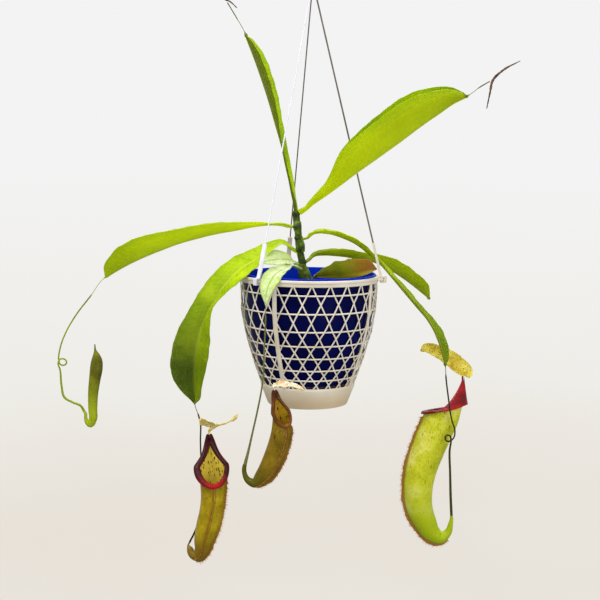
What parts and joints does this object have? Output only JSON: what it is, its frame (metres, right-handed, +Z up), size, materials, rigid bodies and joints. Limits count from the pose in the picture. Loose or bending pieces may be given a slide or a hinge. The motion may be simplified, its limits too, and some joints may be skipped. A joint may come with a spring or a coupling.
{
  "type": "hanging pitcher plant",
  "caption": "Pitcher plant with long strap leaves and hanging pitchers, potted in an open-weave plastic basket with an inner pot, on a hook with strands.",
  "frame": {"origin": "inside top of the hanger's hook, where a ceiling hook or rail carries it", "axes": "+Z up, +X to the right and -Y towards the viewer of the picture"},
  "size_m": [0.5133, 0.1856, 0.6836],
  "materials": {
    "white_plastic": "satin off-white",
    "blue_plastic": "glossy deep blue",
    "soil": null,
    "stem": "green-brown bark",
    "leaf": "satin bright green leaf",
    "old_leaf": "olive to orange-brown leaf",
    "pale_leaf": "glossy pale green leaf",
    "green_pitcher": "yellow-green, faintly speckled",
    "olive_pitcher": "olive with dark speckles",
    "brown_pitcher": "ageing olive-brown",
    "red_lip": "glossy dark red, finely ribbed",
    "lid": "tan with brown speckles",
    "dried": "dry dark brown"
  },
  "bodies": {
    "root": {"basket": "white_plastic", "liner": "blue_plastic", "soil": "soil", "stem": "stem", "hanger_hook": "white_plastic", "leaf_upright": "leaf", "leaf_large_right": "leaf", "leaf_long_left": "leaf", "leaf_drooping_left": "leaf", "leaf_arching_right": "leaf", "leaf_rear_right": "leaf", "leaf_old_right": "old_leaf", "leaf_pale_front": "pale_leaf", "leaf_pale_left": "pale_leaf", "dried_tip_upright": "dried", "dried_tip_right": "dried", "pitcher_young": "olive_pitcher", "pitcher_front_left": "olive_pitcher", "lip_front_left": "red_lip", "lid_front_left": "lid", "pitcher_right": "green_pitcher", "lip_right": "red_lip", "lid_right": "lid", "pitcher_front": "brown_pitcher", "lip_front": "brown_pitcher", "lid_front": "dried", "hanger_strand_1": "white_plastic", "hanger_clip_1": "white_plastic", "hanger_strand_2": "white_plastic", "hanger_clip_2": "white_plastic", "hanger_strand_3": "white_plastic", "hanger_clip_3": "white_plastic"}
  },
  "joints": []
}
